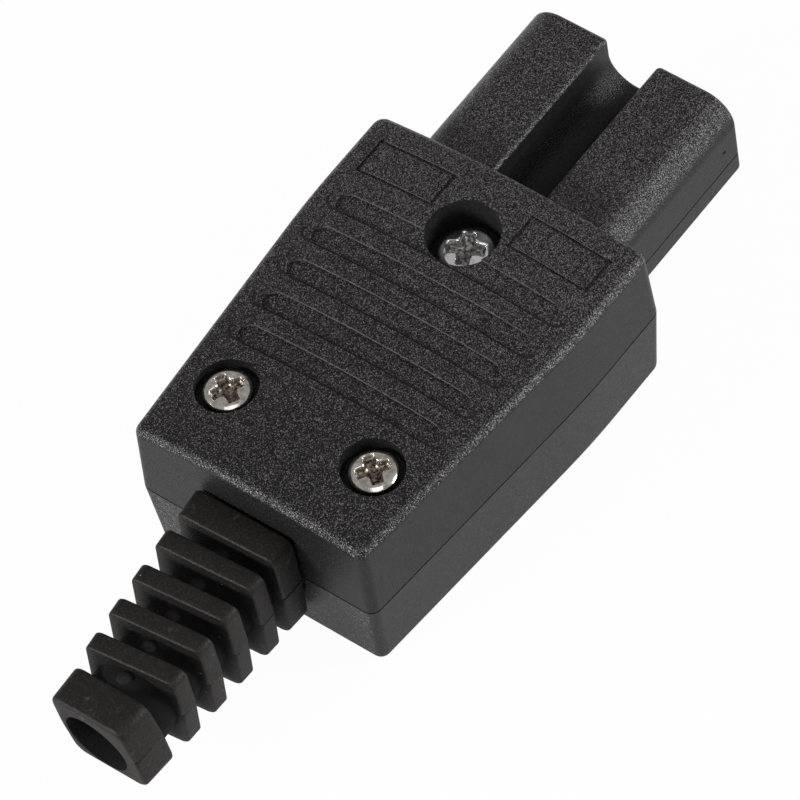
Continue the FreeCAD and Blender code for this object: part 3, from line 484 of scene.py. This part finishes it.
# Lean to the right and sag, growing from the collar to the end, with the ribs askew. The
# rubber is drawn together behind the collar and stretched towards the end.
lean_start, lean_first, lean_last = 0.35, math.radians(1.2), math.radians(2.9)
sag_last = math.radians(0.5)
skew, skew_run = math.radians(6.3), 7.0
stretch, draw, draw_run = 0.55, 0.3, 3.0
boot_run = collar_x[0] - end_block_x[1]
for vert in outside.verts:
    run = collar_x[0] - vert.co.x / MM
    share = run / boot_run
    turn = skew * (1 - math.exp(-max(run, 0.0) / skew_run))
    dip = sag_last * share
    shift = lean_start - run * (lean_first + (lean_last - lean_first) * share / 2)
    squeeze = stretch * share - draw * (1 - math.exp(-max(run, 0.0) / draw_run))
    y, z = vert.co.y / MM, vert.co.z / MM
    vert.co = Vector((vert.co.x / MM + squeeze - y * math.sin(turn) - z * math.sin(dip), shift + y * math.cos(turn),
                      z * math.cos(dip) - run * dip / 2)) * MM

# End block, turned and tipped a little on the end of the core, with the bore off its middle
block_half_w, block_half_h, block_corner = 4.98, 4.64, 1.2
block_place = Vector((end_block_x[0], -0.41, -0.06)) * MM
block_turn, block_tip, block_roll = math.radians(-2.3), math.radians(-4.0), math.radians(-8.2)
block = bmesh.new()
add_slab(block, 0.0, end_block_x[1] - end_block_x[0], block_half_w, block_half_h, block_corner, bore_r, shrink=0.03,
         rim=0.38, mouth=0.1, mouth_off=(0.45, -0.5))
bmesh.ops.transform(block, verts=block.verts, matrix=Matrix.Translation(block_place)
                    @ Matrix.Rotation(block_turn, 4, "Z") @ Matrix.Rotation(block_tip, 4, "Y")
                    @ Matrix.Rotation(block_roll, 4, "X"))
outside.from_mesh(finish_mesh(block, "boot_end_block"))

# Flange behind the rear wall and neck through it
flange_x, flange_half_w, flange_half_h, flange_corner = (-37.92, -40.12), 6.5, 6.7, 1.5
neck_x, neck_half, neck_corner = (-39.5, collar_x[1] + 1.0), 4.7, 0.4
add_slab(outside, *flange_x, flange_half_w, flange_half_h, flange_corner, bore_r, line=0.0, rim=0.15)
add_slab(outside, *neck_x, neck_half, neck_half, neck_corner, bore_r, line=0.0, rim=0.1)
bmesh.ops.translate(outside, verts=outside.verts, vec=(body_front_x * MM, 0, axis_z * MM))
boot_mesh = finish_mesh(outside, "cord_boot_rubber")
boot_mesh.materials.clear()
boot_mesh.materials.append(rubber)
boot = bpy.data.objects.new("cord_boot_rubber", boot_mesh)
scene.collection.objects.link(boot)
for face in boot_mesh.polygons:
    face.use_smooth = True
boot_mesh.set_sharp_from_angle(angle=math.radians(38))
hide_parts("cord_boot")
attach(boot, "root")


# Screws: steel with a bright nickel plate, pan heads with a punched cross whose edges
# are rounded by the plate and the driver. Each is turned as it was left when tightened.
nickel, tree = blank_material("nickel_plated_steel")
coords = add(tree, "ShaderNodeTexCoord")
# The plate is worn in patches of 0.7 mm
wear = add(tree, "ShaderNodeTexNoise", Vector=coords.outputs["Object"], Scale=1500.0, Detail=3.0, Roughness=0.6)
plate_patch = add(tree, "ShaderNodeMapRange", Value=wear.outputs["Fac"], From_Min=0.3, From_Max=0.7)
plate = add(tree, "ShaderNodeMix", {"data_type": "RGBA"}, i0=plate_patch.outputs[0], i6=colour("#aca295"),
            i7=colour("#f2eee8"))
# Brown grease stays in the cross, which an attribute on the heads marks, and the cross is painted darker as well, a
# painted shade in the recess
in_cross = add(tree, "ShaderNodeAttribute", {"attribute_name": "cross_depth"})
grime = add(tree, "ShaderNodeTexNoise", Vector=coords.outputs["Object"], Scale=3200.0, Detail=2.0, Roughness=0.6)
grime_patch = add(tree, "ShaderNodeMapRange", Value=grime.outputs["Fac"], From_Min=0.38, From_Max=0.66)
grease_and_shade = add(tree, "ShaderNodeMix", {"data_type": "RGBA"}, i0=grime_patch.outputs[0], i6=colour("#352b25"),
            i7=colour("#a89a8b"))
tone = add(tree, "ShaderNodeMix", {"data_type": "RGBA"}, i0=in_cross.outputs["Fac"], i6=plate.outputs[2],
           i7=grease_and_shade.outputs[2])
# The front screw has less of the brown soil than the two at the rear
place = add(tree, "ShaderNodeSeparateXYZ", Vector=coords.outputs["Object"])
soil = add(tree, "ShaderNodeMapRange", Value=place.outputs["X"], From_Min=0.0, From_Max=10.0 * MM, To_Min=1.0,
           To_Max=0.1)
clean = add(tree, "ShaderNodeMapRange", Value=soil.outputs[0], From_Min=1.0, From_Max=0.1, To_Min=1.0, To_Max=1.6)
tinted = add(tree, "ShaderNodeHueSaturation", Saturation=soil.outputs[0], Value=clean.outputs[0], Color=tone.outputs[2])
shine = add(tree, "ShaderNodeMapRange", Value=in_cross.outputs["Fac"], To_Min=0.16, To_Max=0.40)
dent = add(tree, "ShaderNodeBump", Strength=0.5, Height=wear.outputs["Fac"], Distance=0.05 * MM)
surface = add(tree, "ShaderNodeBsdfPrincipled", Base_Color=tinted.outputs[0], Metallic=1.0, Roughness=shine.outputs[0],
              Normal=dent.outputs["Normal"])
add(tree, "ShaderNodeOutputMaterial", Surface=surface.outputs[0])

# The dome, and the cross's reach, arm and depth, are shares of the head's radius and height.
# The rim, the cross's softness and the end of the shank are in mm.
dome_ratio, cross_reach, cross_arm, cross_depth = 2.9, 0.70, 0.24, 0.62
head_rim, head_sweep = 1.1, math.radians(50)
cross_fillet, cross_lip, cross_slope = 0.52, 0.10, 0.34
cross_rise = 0.5                      # how much of its depth the cross has lost at its reach
shank_end = 0.4
head_steps, head_sides = 30, 108


def head_height(r, head_r, dome):
    """Fall of the head below its apex: a dome that rolls over into the rim."""
    turn_in = head_r - head_rim * math.sin(head_sweep)
    lean = math.asin(turn_in / (dome - head_rim))
    if r <= dome * math.sin(lean):
        return dome - math.sqrt(dome * dome - r * r)
    middle = dome - (dome - head_rim) * math.cos(lean)
    return middle - math.sqrt(max(head_rim * head_rim - (r - turn_in) ** 2, 0.0))


def cross_cut(y, z, reach, arm):
    """How far a point of the head lies inside the rounded cross, from 0 to 1."""
    first = max(abs(y) - reach, abs(z) - arm)
    second = max(abs(z) - reach, abs(y) - arm)
    mix = max(cross_fillet - abs(first - second), 0.0) / cross_fillet
    edge = min(first, second) - mix * mix * cross_fillet / 4
    share = min(max((cross_lip - edge) / cross_slope, 0.0), 1.0)
    return share * share * (3 - 2 * share)


def pan_head(name, middle, foot, apex, head_r, head_h, shank_r, turn):
    """A screw from foot to apex with its cross turned, as rings of points from the apex down."""
    mesh = bmesh.new()
    mark = mesh.verts.layers.float.new("cross_depth")
    dome = head_r * dome_ratio
    reach, arm, depth = head_r * cross_reach, head_r * cross_arm, head_h * cross_depth
    angles = [2 * math.pi * j / head_sides for j in range(head_sides)]
    rings = []
    for k in range(1, head_steps + 1):
        r = head_r * math.sin(math.pi / 2 * k / head_steps) ** 0.9
        ring = []
        for a in angles:
            x, y = r * math.cos(a), r * math.sin(a)
            u, v = r * math.cos(a - turn), r * math.sin(a - turn)
            inside = cross_cut(u, v, reach, arm)
            fall = head_height(r, head_r, dome) + inside * depth * (1 - cross_rise * r / reach)
            vert = mesh.verts.new((x, y, apex - fall))
            vert[mark] = inside
            ring.append(vert)
        rings.append(ring)
    for r, z in ((head_r, apex - head_h), (shank_r, apex - head_h), (shank_r, foot + shank_end),
                 (shank_r - shank_end, foot)):
        rings.append([mesh.verts.new((r * math.cos(a), r * math.sin(a), z)) for a in angles])
    for first, second in zip(rings, rings[1:]):
        add_band(mesh, first, second)
    mesh.faces.new(rings[0])
    mesh.faces.new(rings[-1])
    bmesh.ops.transform(mesh, verts=mesh.verts,
                        matrix=Matrix.Scale(MM, 4) @ Matrix.Translation((middle[0], middle[1], 0)))
    data = finish_mesh(mesh, name)
    for face in data.polygons:
        face.use_smooth = True
    data.set_sharp_from_angle(angle=math.radians(50))
    data.materials.append(nickel)
    screw = bpy.data.objects.new(name, data)
    scene.collection.objects.link(screw)
    return screw


# Height of the head, radius of the shank and turn of the cross in degrees
screws = {"shell_screw_front": (1.95, 1.5, 24), "shell_screw_left": (1.75, 1.25, 63),
          "shell_screw_right": (1.75, 1.25, 54), "clamp_screw_left": (1.5, 1.1, 0),
          "clamp_screw_right": (1.5, 1.1, 0)}
for name, (head_h, shank_r, turn) in screws.items():
    low, high = ([c / MM for c in corner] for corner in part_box(name))
    screw = pan_head(name + "_plated", ((low[0] + high[0]) / 2, (low[1] + high[1]) / 2), low[2], high[2],
                     (high[0] - low[0]) / 2, head_h, shank_r, math.radians(turn))
    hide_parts(name)
    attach(screw, "root")
for name in nodes:
    if name.startswith("terminal_screw"):
        cover_solid(name, nickel)


# Nuts: zinc plated steel squares, pressed from strip. The plate is left a dull blue grey,
# with a spangle of 1 mm.
zinc, tree = blank_material("zinc_plated_steel")
coords = add(tree, "ShaderNodeTexCoord")
spangle = add(tree, "ShaderNodeTexNoise", Vector=coords.outputs["Object"], Scale=900.0, Detail=2.0, Roughness=0.5)
tone = add(tree, "ShaderNodeMix", {"data_type": "RGBA"}, i0=spangle.outputs["Fac"], i6=colour("#8f9398"),
           i7=colour("#b4b7ba"))
surface = add(tree, "ShaderNodeBsdfPrincipled", Base_Color=tone.outputs[2], Metallic=1.0, Roughness=0.42)
add(tree, "ShaderNodeOutputMaterial", Surface=surface.outputs[0])
for name in nodes:
    if name.startswith("nut_"):
        cover_solid(name, zinc)


# Contacts and terminals: the sleeves are folded from bronze strip with a soft satin skin,
# drawn in lines of 0.3 mm along the strip. The blocks are sawn and drilled brass bar with
# marks of 0.25 mm along the cut, coarser than the real ones so that they show.
bronze, tree = blank_material("rolled_phosphor_bronze")
coords = add(tree, "ShaderNodeTexCoord")
along = add(tree, "ShaderNodeMapping", Vector=coords.outputs["Object"], Scale=(0.15, 1.0, 1.0))
rolled = add(tree, "ShaderNodeTexNoise", Vector=along.outputs[0], Scale=3000.0, Detail=2.0, Roughness=0.5)
tone = add(tree, "ShaderNodeMix", {"data_type": "RGBA"}, i0=rolled.outputs["Fac"], i6=colour("#b08755"),
           i7=colour("#cfa874"))
surface = add(tree, "ShaderNodeBsdfPrincipled", Base_Color=tone.outputs[2], Metallic=1.0, Roughness=0.34)
add(tree, "ShaderNodeOutputMaterial", Surface=surface.outputs[0])
brass, tree = blank_material("sawn_brass_bar")
coords = add(tree, "ShaderNodeTexCoord")
across = add(tree, "ShaderNodeMapping", Vector=coords.outputs["Object"], Scale=(1.0, 0.12, 1.0))
marks = add(tree, "ShaderNodeTexNoise", Vector=across.outputs[0], Scale=4000.0, Detail=2.0, Roughness=0.6)
saw = add(tree, "ShaderNodeBump", Strength=0.3, Height=marks.outputs["Fac"], Distance=0.03 * MM)
tone = add(tree, "ShaderNodeMix", {"data_type": "RGBA"}, i0=marks.outputs["Fac"], i6=colour("#b79a4e"),
           i7=colour("#d9bd6e"))
surface = add(tree, "ShaderNodeBsdfPrincipled", Base_Color=tone.outputs[2], Metallic=1.0, Roughness=0.3,
              Normal=saw.outputs["Normal"])
add(tree, "ShaderNodeOutputMaterial", Surface=surface.outputs[0])
for name in nodes:
    if name.startswith("contact_"):
        cover_solid(name, bronze)
    elif name.startswith("terminal_") and "screw" not in name:
        cover_solid(name, brass)


# Cord clamp: a small strap of the same black nylon as the shells, moulded in a polished
# tool, so it is smooth with a soft shine that varies over 3 mm.
strap, tree = blank_material("smooth_black_nylon")
coords = add(tree, "ShaderNodeTexCoord")
swirl = add(tree, "ShaderNodeTexNoise", Vector=coords.outputs["Object"], Scale=350.0, Detail=2.0, Roughness=0.5)
polish = add(tree, "ShaderNodeMapRange", Value=swirl.outputs["Fac"], To_Min=0.30, To_Max=0.46)
surface = add(tree, "ShaderNodeBsdfPrincipled", Base_Color=colour("#191919"), Roughness=polish.outputs[0], IOR=1.53)
add(tree, "ShaderNodeOutputMaterial", Surface=surface.outputs[0])
cover_solid("cord_clamp", strap)


# Bounds of the dressed part, without the floor
low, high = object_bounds()
